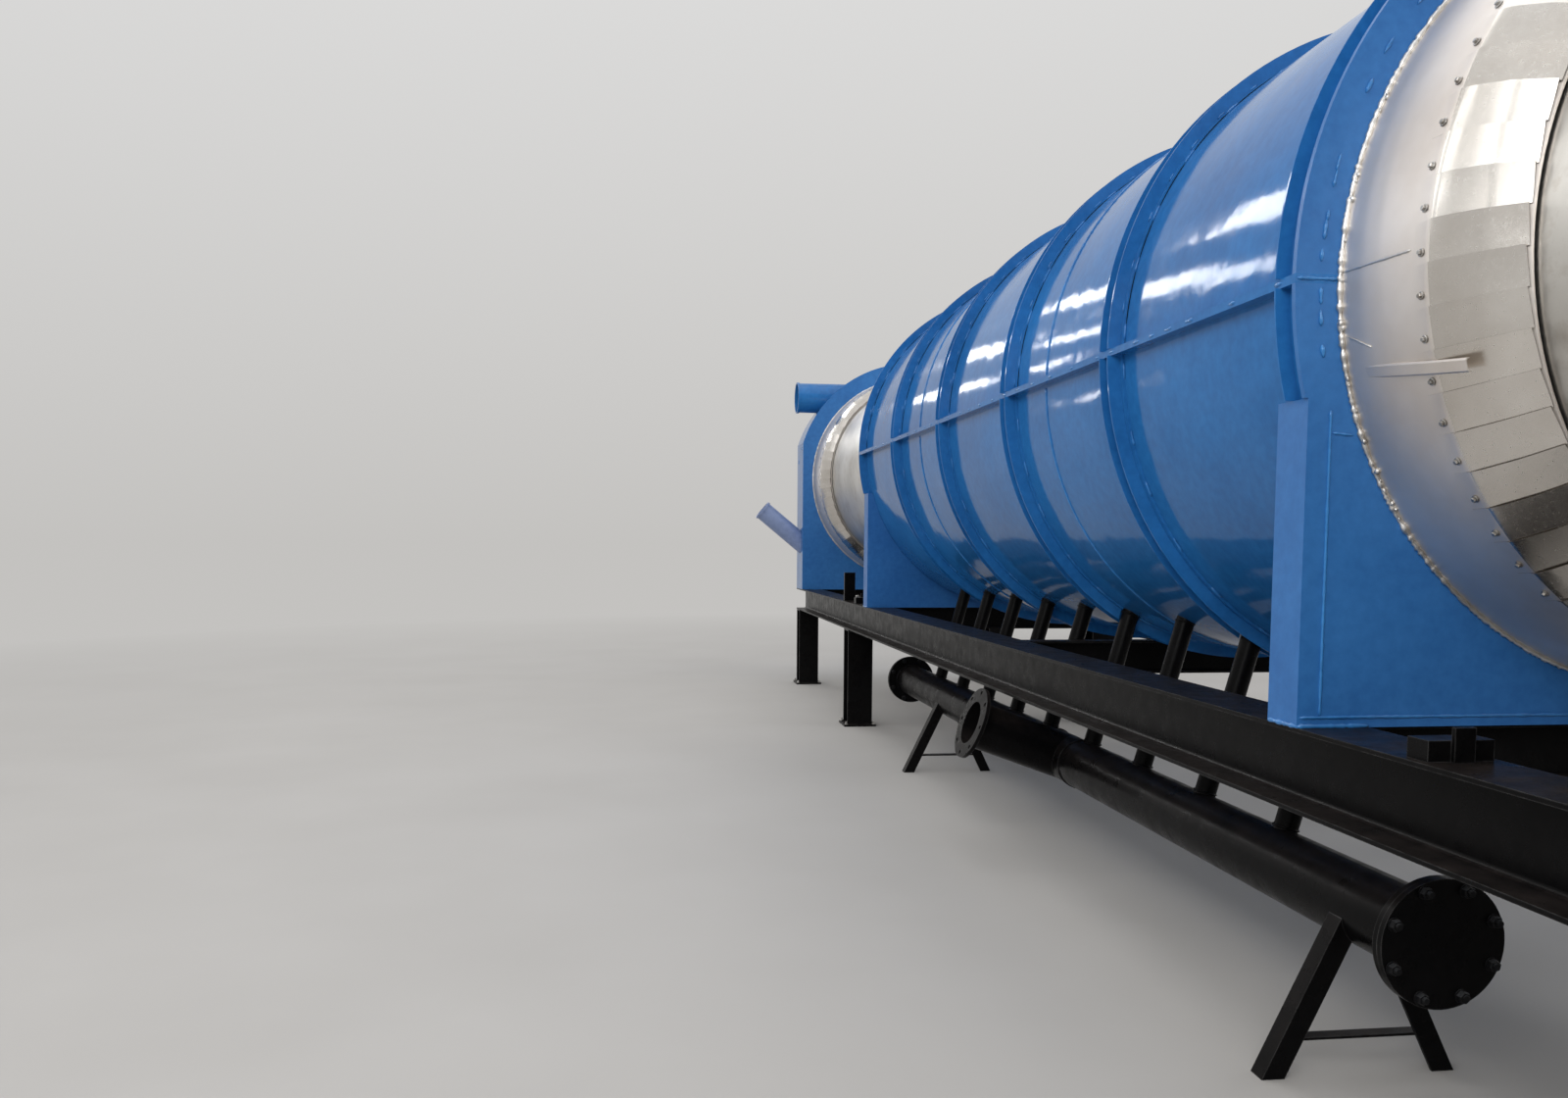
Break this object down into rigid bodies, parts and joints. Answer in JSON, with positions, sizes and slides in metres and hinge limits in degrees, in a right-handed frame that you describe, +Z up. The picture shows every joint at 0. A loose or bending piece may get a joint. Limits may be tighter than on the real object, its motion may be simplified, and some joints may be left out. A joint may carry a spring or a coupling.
{
  "type": "rotary kiln",
  "caption": "Externally heated rotary kiln: a turning drum in a ribbed split furnace shell, with leaf seals, end housings, tyres on rollers, a frame and a gas manifold.",
  "frame": {"origin": "on the floor, in the middle of the machine's box; the kiln axis is beside it at x = 0.2017 m", "axes": "+Z up, +Y along the kiln axis towards the end with the gas outlet and feed spout, +X to the right of it"},
  "size_m": [2.7694, 13.29, 3.317],
  "materials": {
    "blue_paint": "gloss blue paint",
    "black_paint": "gloss black paint",
    "stainless": "brushed stainless sheet",
    "worn_steel": "machined and worn",
    "cast_black": "painted casting"
  },
  "bodies": {
    "frame": {"burner_pipes": "black_paint", "end_plate_lower_far": "blue_paint", "end_plate_lower_near": "blue_paint", "end_plate_upper_far": "blue_paint", "end_plate_upper_near": "blue_paint", "feed_spout": "blue_paint", "frame_beams": "black_paint", "frame_columns": "black_paint", "frame_cross_members": "black_paint", "furnace_seal_far": "stainless", "furnace_seal_near": "stainless", "gas_manifold": "black_paint", "gas_outlet": "blue_paint", "housing_casing_far": "blue_paint", "housing_casing_near": "blue_paint", "housing_front_far": "blue_paint", "housing_front_near": "blue_paint", "housing_seal_far": "stainless", "housing_seal_near": "stainless", "manifold_end_discs": "black_paint", "manifold_inlet": "black_paint", "manifold_stands": "black_paint", "rib_1": "blue_paint", "rib_2": "blue_paint", "rib_3": "blue_paint", "rib_4": "blue_paint", "rib_5": "blue_paint", "rib_6": "blue_paint", "roller_bearings_far": "cast_black", "roller_bearings_near": "cast_black", "roller_bed_far": "black_paint", "roller_bed_near": "black_paint", "saddle_far": "blue_paint", "saddle_near": "blue_paint", "seal_leaves_far": "stainless", "seal_leaves_near": "stainless", "shell_lower": "blue_paint", "shell_upper": "blue_paint"},
    "drum": {"drum_shell": "stainless", "tyre_near": "worn_steel", "tyre_far": "worn_steel"},
    "roller_near_left": {"roller_near_left": "worn_steel"},
    "roller_near_right": {"roller_near_right": "worn_steel"},
    "roller_far_left": {"roller_far_left": "worn_steel"},
    "roller_far_right": {"roller_far_right": "worn_steel"}
  },
  "joints": [
    {"name": "drum_spin", "type": "hinge", "parent": "frame", "child": "drum", "pos_m": [0.20173, 0, 2.134], "axis": [0, 1, 0], "continuous": true},
    {"name": "roller_near_left_spin", "type": "hinge", "parent": "frame", "child": "roller_near_left", "pos_m": [-0.49827, -3.85, 1.24018], "axis": [0, 1, 0], "continuous": true},
    {"name": "roller_near_right_spin", "type": "hinge", "parent": "frame", "child": "roller_near_right", "pos_m": [0.90173, -3.85, 1.24018], "axis": [0, 1, 0], "continuous": true},
    {"name": "roller_far_left_spin", "type": "hinge", "parent": "frame", "child": "roller_far_left", "pos_m": [-0.49827, 3.85, 1.24018], "axis": [0, 1, 0], "continuous": true},
    {"name": "roller_far_right_spin", "type": "hinge", "parent": "frame", "child": "roller_far_right", "pos_m": [0.90173, 3.85, 1.24018], "axis": [0, 1, 0], "continuous": true}
  ],
  "couplings": [
    {"joint": "roller_near_left_spin", "follows": "drum_spin", "ratio": -5.3056},
    {"joint": "roller_near_right_spin", "follows": "drum_spin", "ratio": -5.3056},
    {"joint": "roller_far_left_spin", "follows": "drum_spin", "ratio": -5.3056},
    {"joint": "roller_far_right_spin", "follows": "drum_spin", "ratio": -5.3056}
  ]
}
